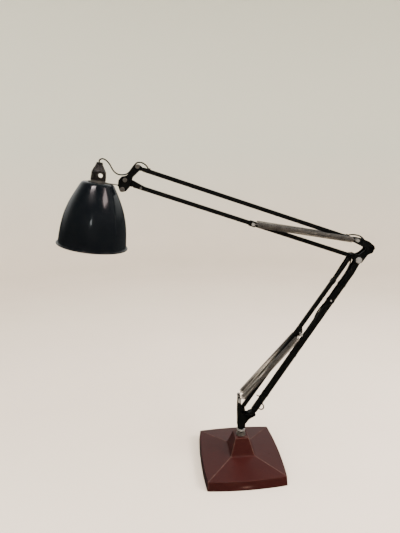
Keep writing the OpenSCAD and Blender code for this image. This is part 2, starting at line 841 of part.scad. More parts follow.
module cord_grip() {
    color(bakelite) on_shade() translate([0, 0, body_top + cap_h]) difference() {
        union() {
            cylinder(h = 2, r = 7.6);
            translate([0, 0, 2]) cylinder(h = 3.4, r1 = 7.3, r2 = 6.6);
        }
        translate([0, 0, -1]) cylinder(h = 12, r = flex_r + 0.05);
        translate([-1, -10, 3.6]) cube([2, 20, 6]);
    }
}

// The insulating block with the two spring contacts of the socket
module contact_block() {
    color(brass) on_shade() {
        translate([0, 0, shade_h - 1]) difference() {
            cylinder(h = 4, r = socket_bore - 0.2);
            for (x = [-5.5, 5.5]) translate([x, 0, -1]) cylinder(h = 10, r = 2.2);
        }
        for (x = [-5.5, 5.5]) translate([x, 0, shade_h - 6]) cylinder(h = 8, r = 2);
    }
}

// The push bar of the switch, through the body from side to side
bar_travel = 4;
module switch_bar() {
    color(white) on_shade() translate([0, 0, body_low + bar_up]) rotate([90, 0, bar_turn])
        translate([0, 0, -holder_d / 2 - 2]) cylinder(h = holder_d + 8, r = 4);
}

// ---------- springs ----------

hook_gap = 10;
// A close-wound spring as a plain tube, with an eye at its foot, at distance y from the plane
module spring_at(foot, tip, y) {
    translate([0, y, 0]) {
        along(off(foot, tip, hook_gap, 0), tip)
            linear_extrude(norm(tip - foot) - 2 * hook_gap) difference() {
                circle(spring_d / 2);
                circle(spring_d / 2 - spring_wire);
            }
        spring_eye(foot, tip, 0.1);
    }
}

// An eye round a pin at p, on a shank that reaches towards q and ends in a disc. The disc is
// larger than the coil's inside by fit, or smaller where the eye must stay free of the coil.
loop_r = pin_r + 0.4 + hook_r;
module spring_eye(p, q, fit) {
    along(p, q) rotate([90, 0, 0]) rotate_extrude($fn = 32)
        translate([loop_r, 0]) circle(hook_r, $fn = 16);
    along(p, q) translate([0, 0, loop_r]) cylinder(h = hook_gap - loop_r + 2, r = hook_r, $fn = 16);
    along(off(p, q, hook_gap, 0), q) cylinder(h = 1.5, r = spring_d / 2 - spring_wire + fit);
}

module lower_spring_front() {
    color(spring_grey) spring_at(lower_stud, lower_pin, -spring_y);
}

module lower_spring_back() {
    color(spring_grey) spring_at(lower_stud, lower_pin, spring_y);
}

module lower_spring_hooks() {
    color(spring_grey) for (s = [-1, 1]) translate([0, s * spring_y, 0])
        spring_eye(lower_pin, lower_stud, -0.4);
}

module upper_spring_front() {
    color(spring_grey) spring_at(upper_stud, upper_pin, -spring_y);
}

module upper_spring_back() {
    color(spring_grey) spring_at(upper_stud, upper_pin, spring_y);
}

module upper_spring_hooks() {
    color(spring_grey) for (s = [-1, 1]) translate([0, s * spring_y, 0])
        spring_eye(upper_pin, upper_stud, -0.4);
}

// ---------- flex ----------

// Lampholder to head plates
head_loop = [
    [-320.4, 0, 747], [-320.9, 0, 751], [-319.6, 0, 755], [-313.5, 0, 757.3], [-306.1, 0, 754.2],
    [-299, 0, 746.3], [-294.2, 0, 736.9], [-289.1, 0, 729.5], [-281.8, 0, 724.9],
    [-273.2, 0, 723.6], [-262.3, 0, 725.6], [-255.5, 0, 731.2]];
module flex_head() {
    color(cord_black) swept(head_loop, flex_r, 2);
}

// Head plates to the top tube's grommet, over the head's upper pivot
neck_loop = [
    [-255.2, 0, 731.6], [-250.4, 0, 737.6], [-245.6, 0, 743.6], [-239.5, 0, 748.9], [-232.2, 0, 749.6],
    [-224.8, 0, 746.8], [-219, 0, 741.8], [-216.2, 0, 735.9], [-216, 0, 730.5]];
module flex_neck() {
    color(cord_black) swept(neck_loop, flex_r, 2);
}

// The top tube's grommet to the back of the elbow plates
elbow_loop = [
    [224.4, 0, 587.3], [226.4, 0, 590.2], [230.5, 0, 592], [236, 0.3, 592.7], [242, 1, 592.4],
    [249.9, 3.7, 590.9], [258.6, 8, 587.8], [267.2, 11.2, 582], [272, 11.6, 574.5],
    [271.2, 11.6, 566.5]];
module flex_elbow_top() {
    color(cord_black) swept(elbow_loop, flex_r, 2);
}

// The back of the elbow plates to the main tube
elbow_side_loop = [
    [271.1, 11.6, 566], [269.4, 11.6, 559], [264, 11.6, 552.5], [256.5, 11.6, 548.3],
    arm_back(-5, 13.6, 11.6), arm_back(4, 13.8, 11.3), arm_back(12, 12.4, 10.2),
    arm_back(19, 10.4, 8), arm_back(26, 9, 5.2), arm_back(34, flex_x, 2.6),
    arm_back(42, flex_x, 1.2), arm_back(50, flex_x, 1)];
module flex_elbow_side() {
    color(cord_black) swept(elbow_side_loop, flex_r, 2);
}

// The main tube to the back of the bracket
bracket_loop = [
    arm_back(399.7, 0, flex_y), [51.1, 8.3, 181.5], [49.6, 9.1, 173.5], [50.4, 9.5, 166],
    [52.9, 9.5, 159.5], [56.6, 9.5, 153], [57, 9.5, 146.4], [52.2, 9.9, 142], [46, 10.3, 143.8],
    [40.5, 10.8, 146.5], [35, 11.2, 142.5], [31, 11.2, 133], [24, 11.4, 125.5],
    [13, 11.4, 119.5], [5, 11.2, 115], [0.8, 10, 112.4], [0, 7.6, 112], [0, 4, 112]];
module flex_bracket() {
    color(cord_black) swept(bracket_loop, flex_r, 2);
}

base_cover();
base_weight();
base_pad();
stem_socket();
socket_nut();
cable_gland();
stem();
stem_washer();
bracket_hub();
bracket_front();
bracket_back();
bracket_bolts();
lower_spring_studs();
lower_arm_tube();
lower_arm_ends();
flex_straps();
flex_lower();
lower_control_tube();
lower_control_ends();
lower_spring_anchor();
lower_spring_pin();
elbow_front();
elbow_back();
elbow_main_bolt();
elbow_upper_bolt();
elbow_screws();
upper_spring_studs();
upper_arm_tube();
upper_arm_ends();
flex_grommets();
flex_upper();
upper_control_tube();
upper_control_ends();
control_rivet();
upper_spring_anchor();
upper_spring_pin();
head_front();
head_back();
head_bolts();
tilt_bolt();
head_spacers();
shade_bracket();
shade();
shade_ring();
lampholder_body();
lampholder_cap();
cord_grip();
contact_block();
switch_bar();
lower_spring_front();
lower_spring_back();
lower_spring_hooks();
upper_spring_front();
upper_spring_back();
upper_spring_hooks();
flex_head();
flex_neck();
flex_elbow_top();
flex_elbow_side();
flex_bracket();
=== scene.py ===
import json
import math

import bpy
import numpy as np
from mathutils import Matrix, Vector


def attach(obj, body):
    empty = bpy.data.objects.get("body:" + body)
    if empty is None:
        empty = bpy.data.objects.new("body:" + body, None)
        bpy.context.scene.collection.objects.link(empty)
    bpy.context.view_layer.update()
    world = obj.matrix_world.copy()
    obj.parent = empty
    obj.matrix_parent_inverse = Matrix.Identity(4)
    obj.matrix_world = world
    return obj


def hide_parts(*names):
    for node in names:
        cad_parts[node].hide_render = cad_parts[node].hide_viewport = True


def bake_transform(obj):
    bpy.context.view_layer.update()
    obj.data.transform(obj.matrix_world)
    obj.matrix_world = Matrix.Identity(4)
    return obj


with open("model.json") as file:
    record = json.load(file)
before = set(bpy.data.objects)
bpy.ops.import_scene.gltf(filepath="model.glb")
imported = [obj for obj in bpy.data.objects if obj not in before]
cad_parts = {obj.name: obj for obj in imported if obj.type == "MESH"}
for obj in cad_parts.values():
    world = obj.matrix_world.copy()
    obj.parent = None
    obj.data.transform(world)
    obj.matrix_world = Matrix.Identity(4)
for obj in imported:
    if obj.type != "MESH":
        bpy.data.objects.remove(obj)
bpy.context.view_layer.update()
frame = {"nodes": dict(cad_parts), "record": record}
scene = bpy.context.scene
NODES = frame["nodes"]
MM = 0.001

# ---------- places repeated from the part, millimetres, [X, Z] in the arms' plane ----------

LOWER_STUD, LOWER_PIN = (-6.8, 181.5), (133.56, 357.52)
UPPER_STUD, UPPER_PIN = (245.4, 582.0), (12.68, 617.7)
SPRING_Y = 14.0
RIM_CENTRE = (-347.6, 566.8)
SHADE_LEAN = 8.6
SHADE_H = 142.0
RIM_D = 157.4
BASE_TURN = 5.6
FLEX_R = 1.6

# ---------- camera ----------

camera = bpy.data.objects.new("camera", bpy.data.cameras.new("camera"))
scene.collection.objects.link(camera)
scene.camera = camera
SENSOR_MM = 36
FOCAL_SHARE = 400 / 533
camera.data.sensor_width = SENSOR_MM
camera.data.lens = SENSOR_MM * FOCAL_SHARE
camera.data.clip_start = 0.02
camera.data.clip_end = 60
camera.location = (-0.1042, -0.889, 0.7405)
camera.rotation_euler = (math.radians(76), 0, 0)

# ---------- materials ----------


class Finish:
    """A material and short ways to add its nodes."""

    def __init__(self, name):
        self.mat = bpy.data.materials.new(name)
        self.mat.use_nodes = True
        self.tree = self.mat.node_tree
        self.tree.nodes.clear()
        self.out = self.add("ShaderNodeOutputMaterial")
        self.bsdf = self.add("ShaderNodeBsdfPrincipled")
        self.link(self.bsdf.outputs["BSDF"], self.out.inputs["Surface"])
        self.place = self.add("ShaderNodeTexCoord").outputs["Object"]
        self.height = None

    def add(self, kind, **values):
        node = self.tree.nodes.new(kind)
        for key, value in values.items():
            setattr(node, key, value)
        return node

    def link(self, a, b):
        self.tree.links.new(a, b)

    def fixed(self, **values):
        for key, value in values.items():
            self.bsdf.inputs[key.replace("_", " ")].default_value = value

    def stretched(self, x, y, z):
        node = self.add("ShaderNodeMapping")
        node.inputs["Scale"].default_value = (x, y, z)
        self.link(self.place, node.inputs["Vector"])
        return node.outputs["Vector"]

    def noise(self, scale, detail=3.0, rough=0.55, at=None, seed=0.0):
        node = self.add("ShaderNodeTexNoise", noise_dimensions="4D")
        node.inputs["Scale"].default_value = scale
        node.inputs["Detail"].default_value = detail
        node.inputs["Roughness"].default_value = rough
        node.inputs["W"].default_value = seed
        self.link(at or self.place, node.inputs["Vector"])
        return node.outputs["Fac"]

    def cells(self, scale, at=None):
        node = self.add("ShaderNodeTexVoronoi")
        node.inputs["Scale"].default_value = scale
        self.link(at or self.place, node.inputs["Vector"])
        return node.outputs["Distance"]

    def attribute(self, name):
        return self.add("ShaderNodeAttribute", attribute_name=name).outputs["Fac"]

    def span(self, value, low, high, to_low=0.0, to_high=1.0):
        node = self.add("ShaderNodeMapRange", clamp=True)
        for i, v in enumerate((low, high, to_low, to_high)):
            node.inputs[i + 1].default_value = v
        self.link(value, node.inputs[0])
        return node.outputs[0]

    def maths(self, kind, a, b):
        node = self.add("ShaderNodeMath", operation=kind, use_clamp=kind != "MULTIPLY_ADD")
        for i, v in enumerate((a, b)):
            if isinstance(v, (int, float)):
                node.inputs[i].default_value = v
            else:
                self.link(v, node.inputs[i])
        return node.outputs[0]

    def mix(self, share, a, b):
        node = self.add("ShaderNodeMix", data_type="RGBA")
        self.link(share, node.inputs[0])
        for slot, v in ((6, a), (7, b)):
            if isinstance(v, tuple):
                node.inputs[slot].default_value = (*v, 1)
            else:
                self.link(v, node.inputs[slot])
        return node.outputs[2]

    def edges(self, radius):
        """1 along convex and concave edges, 0 on flats."""
        bevel = self.add("ShaderNodeBevel", samples=4)
        bevel.inputs["Radius"].default_value = radius
        plain = self.add("ShaderNodeNewGeometry")
        dot = self.add("ShaderNodeVectorMath", operation="DOT_PRODUCT")
        self.link(bevel.outputs[0], dot.inputs[0])
        self.link(plain.outputs["Normal"], dot.inputs[1])
        return self.span(dot.outputs["Value"], 0.995, 0.9)

    def round_edges(self, radius):
        bevel = self.add("ShaderNodeBevel", samples=4)
        bevel.inputs["Radius"].default_value = radius
        self.height = bevel.outputs[0]

    def bump(self, height, depth, strength=1.0):
        node = self.add("ShaderNodeBump")
        node.inputs["Distance"].default_value = depth
        node.inputs["Strength"].default_value = strength
        self.link(height, node.inputs["Height"])
        if self.height:
            self.link(self.height, node.inputs["Normal"])
        self.height = node.outputs["Normal"]
        self.link(self.height, self.bsdf.inputs["Normal"])

    def colour(self, value):
        self.link(value, self.bsdf.inputs["Base Color"])

    def rough(self, value):
        self.link(value, self.bsdf.inputs["Roughness"])


def black_enamel():
    f = Finish("black_enamel")
    cloud = f.noise(60, 4)
    dust = f.span(f.noise(900, 4, 0.7, seed=2.0), 0.6, 0.78)
    wear = f.maths("MULTIPLY", f.edges(0.0004), f.span(f.noise(220, 3, seed=5.0), 0.54, 0.7))
    body = f.mix(f.span(cloud, 0.35, 0.7), (0.0018, 0.0022, 0.0023), (0.0036, 0.0038, 0.0037))
    body = f.mix(f.maths("MULTIPLY", dust, 0.15), body, (0.020, 0.019, 0.018))
    f.colour(f.mix(f.maths("MULTIPLY", wear, 0.5), body, (0.065, 0.052, 0.040)))
    f.rough(f.span(f.noise(140, 3, seed=1.0), 0.3, 0.75, 0.24, 0.42))
    f.fixed(Specular_IOR_Level=0.13)
    f.round_edges(0.0004)
    f.bump(f.noise(700, 2), 0.00004)
    return f.mat


def gloss_black():
    f = Finish("shade_gloss_black")
    smear = f.noise(22, 4, 0.6)
    dust = f.span(f.noise(1100, 3, 0.7, seed=3.0), 0.63, 0.78)
    marks = f.span(f.noise(26, 6, 0.75, at=f.stretched(1, 1, 0.12), seed=7.0), 0.62, 0.8)
    body = f.mix(f.span(smear, 0.3, 0.75), (0.0022, 0.0030, 0.0040), (0.0045, 0.0055, 0.0068))
    body = f.mix(f.maths("MULTIPLY", dust, 0.25), body, (0.06, 0.058, 0.054))
    f.colour(f.mix(f.maths("MULTIPLY", marks, 0.12), body, (0.03, 0.03, 0.03)))
    f.rough(f.span(smear, 0.25, 0.8, 0.10, 0.24))
    f.fixed(Specular_IOR_Level=0.5, Coat_Weight=0.35, Coat_Roughness=0.06)
    f.bump(f.noise(9, 2, 0.4, seed=4.0), 0.0009)
    f.bump(f.noise(420, 2, 0.5), 0.000025)
    return f.mat


def white_enamel():
    f = Finish("shade_white_inside")
    cloud = f.noise(18, 4)
    body = f.mix(f.span(cloud, 0.3, 0.75), (0.74, 0.72, 0.66), (0.62, 0.59, 0.51))
    dust = f.span(f.noise(800, 3, seed=1.0), 0.6, 0.8)
    f.colour(f.mix(f.maths("MULTIPLY", dust, 0.3), body, (0.35, 0.31, 0.25)))
    f.rough(f.span(cloud, 0.2, 0.8, 0.28, 0.45))
    f.bump(f.noise(350, 2), 0.00004)
    return f.mat


def oxblood():
    f = Finish("base_oxblood")
    cloud = f.noise(14, 5, 0.6)
    fine = f.noise(260, 5, 0.65, seed=2.0)
    ridge = f.attribute("ridge")
    broken = f.span(f.noise(120, 4, 0.65, seed=6.0), 0.3, 0.62)
    body = f.mix(f.span(cloud, 0.3, 0.7), (0.0215, 0.0038, 0.0034), (0.0290, 0.0060, 0.0054))
    body = f.mix(f.maths("MULTIPLY", f.span(fine, 0.5, 0.72), 0.28), body, (0.044, 0.016, 0.0145))
    # lighter bands along the ridges and keys: the soft band is painted highlight, the narrow broken line is
    # painted highlight and wear
    soft_highlight = f.span(ridge, 0.05, 1.0, 0.0, 0.5)
    body = f.mix(soft_highlight, body, (0.034, 0.0085, 0.0065))
    highlight_and_wear_line = f.maths("MULTIPLY", f.span(ridge, 0.62, 0.95), broken)
    body = f.mix(f.maths("MULTIPLY", highlight_and_wear_line, 0.7), body, (0.098, 0.056, 0.046))
    # a lighter patch low on the front of the skirt
    pale_spot = f.maths("MULTIPLY", f.attribute("pale_patch"), f.span(f.noise(500, 4, 0.7), 0.36, 0.6))
    body = f.mix(pale_spot, body, (0.17, 0.105, 0.095))
    specks = f.span(f.cells(170), 0.09, 0.045)
    f.colour(f.mix(f.maths("MULTIPLY", specks, 0.35), body, (0.014, 0.004, 0.004)))
    f.rough(f.maths("ADD", f.span(fine, 0.2, 0.8, 0.24, 0.40), f.maths("MULTIPLY", soft_highlight, 0.3)))
    f.fixed(Specular_IOR_Level=0.30)
    f.bump(f.noise(520, 3, 0.5), 0.00006)
    f.bump(f.noise(60, 2, 0.5, seed=3.0), 0.0002)
    return f.mat


def metal(name, light, dark, low, high, grain=500, dirt=(0.08, 0.06, 0.045), share=0.5,
          bare=1.0):
    f = Finish(name)
    tone = f.noise(grain * 0.25, 4, 0.6)
    grime = f.span(f.noise(grain * 0.5, 4, 0.7, seed=4.0), 0.52, 0.74)
    body = f.mix(f.span(tone, 0.3, 0.7), light, dark)
    f.colour(f.mix(f.maths("MULTIPLY", grime, share), body, dirt))
    f.link(f.span(grime, 0.0, 1.0, bare, 0.6 * bare), f.bsdf.inputs["Metallic"])
    f.rough(f.span(f.noise(grain, 3), 0.25, 0.75, low, high))
    f.round_edges(0.00035)
    f.bump(f.noise(grain * 2, 2), 0.00003)
    return f.mat


def plastic(name, one, two, low, high, scale=90, grain=0.00005):
    f = Finish(name)
    body = f.mix(f.span(f.noise(scale, 5, 0.6), 0.32, 0.68), one, two)
    dust = f.span(f.noise(900, 3, seed=8.0), 0.6, 0.78)
    f.colour(f.mix(f.maths("MULTIPLY", dust, 0.22), body, tuple(min(1, 0.06 + 2 * c) for c in two)))
    f.rough(f.span(f.noise(scale * 3, 3, seed=1.0), 0.3, 0.7, low, high))
    f.bump(f.noise(scale * 6, 2), grain)
    return f.mat


def felt_fabric():
    f = Finish("felt")
    fibre = f.noise(1400, 5, 0.8)
    body = f.mix(f.span(fibre, 0.3, 0.7), (0.020, 0.028, 0.022), (0.060, 0.075, 0.060))
    f.colour(f.mix(f.span(f.noise(25, 4, seed=2.0), 0.45, 0.75), body, (0.075, 0.070, 0.055)))
    f.rough(f.span(fibre, 0.2, 0.8, 0.85, 1.0))
    f.fixed(Sheen_Weight=0.4, Sheen_Roughness=0.6)
    f.bump(fibre, 0.0004)
    return f.mat


def flex_black():
    f = Finish("flex_black")
    body = f.mix(f.span(f.noise(200, 4), 0.35, 0.7), (0.005, 0.005, 0.005), (0.010, 0.0095, 0.009))
    dust = f.span(f.noise(1500, 4, 0.7, seed=3.0), 0.55, 0.75)
    f.colour(f.mix(f.maths("MULTIPLY", dust, 0.15), body, (0.05, 0.047, 0.043)))
    f.rough(f.span(f.noise(600, 3, seed=1.0), 0.3, 0.7, 0.38, 0.58))
    f.bump(f.noise(2200, 3, 0.6), 0.00006)
    return f.mat


def cast_iron():
    f = Finish("iron")
    body = f.mix(f.span(f.noise(70, 5), 0.35, 0.7), (0.035, 0.035, 0.037), (0.075, 0.066, 0.058))
    f.colour(f.mix(f.span(f.noise(30, 5, seed=3.0), 0.55, 0.75), body, (0.11, 0.055, 0.03)))
    f.rough(f.span(f.noise(300, 3), 0.3, 0.7, 0.55, 0.8))
    f.fixed(Metallic=0.6)
    f.bump(f.noise(420, 4, 0.6), 0.0003)
    return f.mat


ENAMEL = black_enamel()
GLOSS = gloss_black()
INSIDE = white_enamel()
OXBLOOD = oxblood()
DULL = metal("dull_steel", (0.18, 0.17, 0.155), (0.10, 0.092, 0.083), 0.30, 0.5, bare=0.75)
BRIGHT = metal("bright_steel", (0.36, 0.355, 0.345), (0.22, 0.215, 0.205), 0.16, 0.32, share=0.3,
               bare=0.45)
SPRING = metal("spring_wire", (0.22, 0.207, 0.188), (0.105, 0.097, 0.086), 0.22, 0.4, 260,
               (0.07, 0.058, 0.046), 0.55, bare=0.8)
PAINTED = metal("painted_bolt", (0.030, 0.029, 0.028), (0.055, 0.052, 0.048), 0.35, 0.55,
                dirt=(0.012, 0.011, 0.010))
BRASS = metal("contact_brass", (0.72, 0.53, 0.25), (0.5, 0.35, 0.15), 0.25, 0.45)
BAKELITE = plastic("bakelite", (0.0050, 0.0046, 0.0042), (0.0125, 0.0105, 0.0090), 0.2, 0.38)
IVORY = plastic("switch_ivory", (0.80, 0.77, 0.68), (0.70, 0.66, 0.55), 0.25, 0.4)
RUBBER = plastic("gland_rubber", (0.013, 0.013, 0.013), (0.024, 0.023, 0.022), 0.5, 0.7)
FELT = felt_fabric()
FLEX = flex_black()
IRON = cast_iron()

FINISHES = {
    "base_enamel": OXBLOOD, "iron": IRON, "felt": FELT, "steel": DULL, "bright_steel": BRIGHT,
    "spring_steel": SPRING, "black_enamel": ENAMEL, "shade_enamel": GLOSS, "bakelite": BAKELITE,
    "switch_white": IVORY, "contact_brass": BRASS, "flex_black": FLEX,
}
for part in frame["record"]["subparts"]:
    node = NODES[part["node"]]
    finish = FINISHES[part["material_slot"]]
    node.data.materials.clear()
    node.data.materials.append(finish)
for names, finish in ((("cable_gland", "flex_grommets"), RUBBER),
                      (("bracket_bolts", "elbow_screws", "elbow_upper_bolt"), PAINTED)):
    for name in names:
        NODES[name].data.materials[0] = finish

# ---------- mesh building ----------


def plane_way(a, b):
    """The unit direction from a to b in the arms' plane."""
    d = np.subtract(b, a)
    return d / np.hypot(*d)


def piece(name, verts, faces, mats, soft_angle=35, kinds=None):
    """A mesh from millimetres. kinds gives each face its material's place in mats."""
    mesh = bpy.data.meshes.new(name)
    mesh.from_pydata([tuple(float(c) * MM for c in v) for v in verts], [], faces)
    mesh.validate()
    mesh.shade_smooth()
    if soft_angle:
        mesh.set_sharp_from_angle(angle=math.radians(soft_angle))
    for m in mats:
        mesh.materials.append(m)
    if kinds is not None:
        mesh.polygons.foreach_set("material_index", np.array(kinds, np.int32))
    obj = bpy.data.objects.new(name, mesh)
    scene.collection.objects.link(obj)
    return obj


DOME_ANGLES = (22, 50, 80)
NOT_ALONG = [0.31, 0.9, 0.22]


def tube(name, path, radius, sides, mat):
    """A round tube along a list of points, with domed ends."""
    path = np.array(path, float)
    last = len(path) - 1
    ways = np.gradient(path, axis=0)
    ways /= np.linalg.norm(ways, axis=1)[:, None]

    def dome(i, outward, angle):
        a = math.radians(angle)
        return path[i] + outward * ways[i] * radius * math.sin(a), i, radius * math.cos(a)

    stations = [dome(0, -1, a) for a in reversed(DOME_ANGLES)]
    stations += [(point, i, radius) for i, point in enumerate(path)]
    stations += [dome(last, 1, a) for a in DOME_ANGLES]
    up = np.cross(ways[0], NOT_ALONG)
    up /= np.linalg.norm(up)
    around = 2 * math.pi * np.arange(sides) / sides
    rings, before = [], 0
    for centre, i, ring_radius in stations:
        if i != before:
            # carry the ring's direction along without twist
            up = up - ways[i] * (up @ ways[i])
            up /= np.linalg.norm(up)
        before = i
        side = np.cross(ways[i], up)
        rings.append(centre + ring_radius * (np.outer(np.cos(around), up) + np.outer(np.sin(around), side)))
    verts = np.concatenate(rings)
    faces = [list(range(sides))[::-1]]
    for i in range(len(rings) - 1):
        for k in range(sides):
            j = (k + 1) % sides
            faces.append([i * sides + k, i * sides + j, (i + 1) * sides + j, (i + 1) * sides + k])
    faces.append([(len(rings) - 1) * sides + k for k in range(sides)])
    return piece(name, verts, faces, [mat], soft_angle=None)


def smooth_route(points, steps):
    """A curve through all the points, with so many steps between each two."""
    p = np.array(points, float)
    out = []
    for s in np.linspace(0, len(p) - 1, steps * (len(p) - 1) + 1):
        i = min(int(s), len(p) - 2)
        f = s - i
        a, b, c, d = p[max(i - 1, 0)], p[i], p[i + 1], p[min(i + 2, len(p) - 1)]
        out.append(0.5 * (2 * b + f * (c - a) + f * f * (2 * a - 5 * b + 4 * c - d)
                          + f ** 3 * (3 * b - a - 3 * c + d)))
    return np.array(out)


def on_shade(points):
    """From the shade's own frame, rim at 0 and axis along +Z, to the row frame, millimetres."""
    c, s = math.cos(math.radians(SHADE_LEAN)), math.sin(math.radians(SHADE_LEAN))
    p = np.array(points, float)
    return np.stack([RIM_CENTRE[0] + p[:, 0] * c + p[:, 2] * s, p[:, 1],
                     RIM_CENTRE[1] - p[:, 0] * s + p[:, 2] * c], 1)


def lathe(name, outline, count, mats, place=on_shade, soft_angle=40, kinds=None, ribs=None):
    """A closed outline of (radius, height) turned round the axis. ribs(angle, i) scales a point's radius."""
    n = len(outline)
    verts, faces, faces_kind = [], [], []
    for k in range(count):
        a = 2 * math.pi * k / count
        for i, (r, z) in enumerate(outline):
            q = r * (ribs(a, i) if ribs else 1)
            verts.append((q * math.cos(a), q * math.sin(a), z))
    for k in range(count):
        m = (k + 1) % count
        for i in range(n):
            j = (i + 1) % n
            faces.append([k * n + i, m * n + i, m * n + j, k * n + j])
            faces_kind.append(kinds[i] if kinds else 0)
    return piece(name, place(verts), faces, mats, soft_angle, faces_kind)


def arc(cx, cz, r, a0, a1, steps):
    return [(cx + r * math.cos(math.radians(a)), cz + r * math.sin(math.radians(a)))
            for a in np.linspace(a0, a1, steps)]


# ---------- flex: the stretches on the arms, then the free loops between bodies ----------

FLEX_X, FLEX_Y = 8.4, 7.7
TUBE_TOP, TUBE_FOOT = (237.81, 498.72), (30.42, 146.41)


def by_tube(d, across, y):
    """A point beside the main tube, d down from the elbow and across towards the control tube."""
    way = np.subtract(TUBE_FOOT, TUBE_TOP) / math.dist(TUBE_FOOT, TUBE_TOP)
    down = d - 40
    return (TUBE_TOP[0] + way[0] * down + way[1] * across, y,
            TUBE_TOP[1] + way[1] * down - way[0] * across)


ON_TUBE = [
    by_tube(50.4, FLEX_X, 1), by_tube(84, FLEX_X, 1), by_tube(118, FLEX_X, 1),
    by_tube(132, FLEX_X, 3.5), by_tube(146, 8.2, 6.2), by_tube(158, 6.6, 7.8),
    by_tube(172, 3.5, 7.9), by_tube(190, 0.5, FLEX_Y), by_tube(230, 0, FLEX_Y),
    by_tube(320, 0, FLEX_Y), by_tube(399.3, 0, FLEX_Y)]
LOOPS = {
    "flex_head": ([
        (-320.4, 0, 747), (-320.9, 0, 751), (-319.6, 0, 755), (-313.5, 0, 757.3),
        (-306.1, 0, 754.2), (-299, 0, 746.3), (-294.2, 0, 736.9), (-289.1, 0, 729.5),
        (-281.8, 0, 724.9), (-273.2, 0, 723.6), (-262.3, 0, 725.6), (-255.5, 0, 731.2)],
        "shade", "head"),
    "flex_neck": ([
        (-255.2, 0, 731.6), (-250.4, 0, 737.6), (-245.6, 0, 743.6), (-239.5, 0, 748.9),
        (-232.2, 0, 749.6), (-224.8, 0, 746.8), (-219, 0, 741.8), (-216.2, 0, 735.9),
        (-216, 0, 730.5)], "head", "upper_arm"),
    "flex_elbow_top": ([
        (224.4, 0, 587.3), (226.4, 0, 590.2), (230.5, 0, 592), (236, 0.3, 592.7),
        (242, 1, 592.4), (249.9, 3.7, 590.9), (258.6, 8, 587.8), (267.2, 11.2, 582),
        (272, 11.6, 574.5), (271.2, 11.6, 566.5)], "upper_arm", "elbow"),
    "flex_elbow_side": ([
        (271.1, 11.6, 566), (269.4, 11.6, 559), (264, 11.6, 552.5), (256.5, 11.6, 548.3),
        by_tube(-5, 13.3, 11.6), by_tube(3.5, 13.1, 11.4), by_tube(9.5, 11.2, 10.7),
        by_tube(16, 9.2, 8.7), by_tube(23, 8.5, 5.8), by_tube(32, FLEX_X, 2.9),
        by_tube(41, FLEX_X, 1.2), by_tube(50, FLEX_X, 1)],
        "elbow", "lower_arm"),
    "flex_bracket": ([
        by_tube(399.7, 0, FLEX_Y), (51.1, 8.3, 181.5), (49.6, 9.1, 173.5), (50.4, 9.5, 166),
        (52.9, 9.5, 159.5), (56.6, 9.5, 153), (57, 9.5, 146.4), (52.2, 9.9, 142),
        (46, 10.3, 143.8), (40.5, 10.8, 146.5), (35, 11.2, 142.5), (31, 11.2, 133),
        (24, 11.4, 125.5), (13, 11.4, 119.5), (5, 11.2, 115), (0.8, 10, 112.4), (0, 7.6, 112),
        (0, 4, 112)],
        "lower_arm", "stem"),
}


run = smooth_route(ON_TUBE, 8)
flex = tube("flex_along_arm", run, FLEX_R, 16, FLEX)
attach(flex, "lower_arm")
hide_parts("flex_lower")
for name, (points, first, second) in LOOPS.items():
    route = smooth_route(points, 5)
    loop = tube(name + "_loop", route, FLEX_R, 16, FLEX)
    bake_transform(loop)
    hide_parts(name)

# ---------- base ----------


SIDE_POINTS = 22
CORNER_POINTS = 6


def base_outline(half, bow, corner):
    """A square with bowed sides and rounded corners, the same number of points whatever its size."""
    big = (half * half + bow * bow) / (2 * bow) if bow else None
    points = []
    for k in range(4):
        a = math.pi / 2 * k
        along, out = np.array([-math.sin(a), math.cos(a)]), np.array([math.cos(a), math.sin(a)])

        def at(s):
            bulge = math.sqrt(big * big - s * s) - (big - bow) if bow else 0
            return along * s + out * (half + bulge)

        ends = (-half + corner, half - corner)
        points += [at(s) for s in np.linspace(*ends, SIDE_POINTS)]
        a1 = a + math.pi / 2
        along1, out1 = np.array([-math.sin(a1), math.cos(a1)]), np.array([math.cos(a1), math.sin(a1)])
        tip = (along + out) * half
        bulge = math.sqrt(big * big - ends[0] ** 2) - (big - bow) if bow else 0
        after = along1 * ends[0] + out1 * (half + bulge)
        before = at(ends[1])
        for f in np.linspace(0, 1, CORNER_POINTS + 2)[1:-1]:
            points.append((1 - f) ** 2 * before + 2 * f * (1 - f) * tip + f * f * after)
    return np.array(points)


def turned_as_base(verts):
    c, s = math.cos(math.radians(BASE_TURN)), math.sin(math.radians(BASE_TURN))
    return np.column_stack(
        [verts[:, 0] * c - verts[:, 1] * s, verts[:, 0] * s + verts[:, 1] * c, verts[:, 2]])


def on_circle(points, radius):
    turn = np.arctan2(points[:, 1], points[:, 0])
    return radius * np.column_stack([np.cos(turn), np.sin(turn)])


LIFT = 0.8
HUB_R = 10.4
# the foot, the skirt's top, the block's foot and the block's top: outline and height
BASE_KEYS = [
    (base_outline(97.0, 5.5, 2.4), LIFT), (base_outline(95.0, 5.5, 2.4), 24 + LIFT),
    (base_outline(30.5, 0, 2.6), 34.3 + LIFT), (base_outline(17.0, 0, 1.8), 77 + LIFT)]
ROUNDING = {1: 1.5, 2: 5.0, 3: 1.2}
ROWS_BETWEEN = {1: 12, 2: 22, 3: 18, 4: 4}
ROUND_ROWS = 9
# how bright and how wide the lighter line is along each of the four keys: painted highlight on the rounded
# edges, partly also wear; the broad band at the block's foot is painted highlight only
EDGE_WEAR_AND_HIGHLIGHT = [(0.5, 1.5), (0.85, 1.2), (0.55, 5.0), (1.0, 1.2)]
RIDGE_WIDTH = 1.7


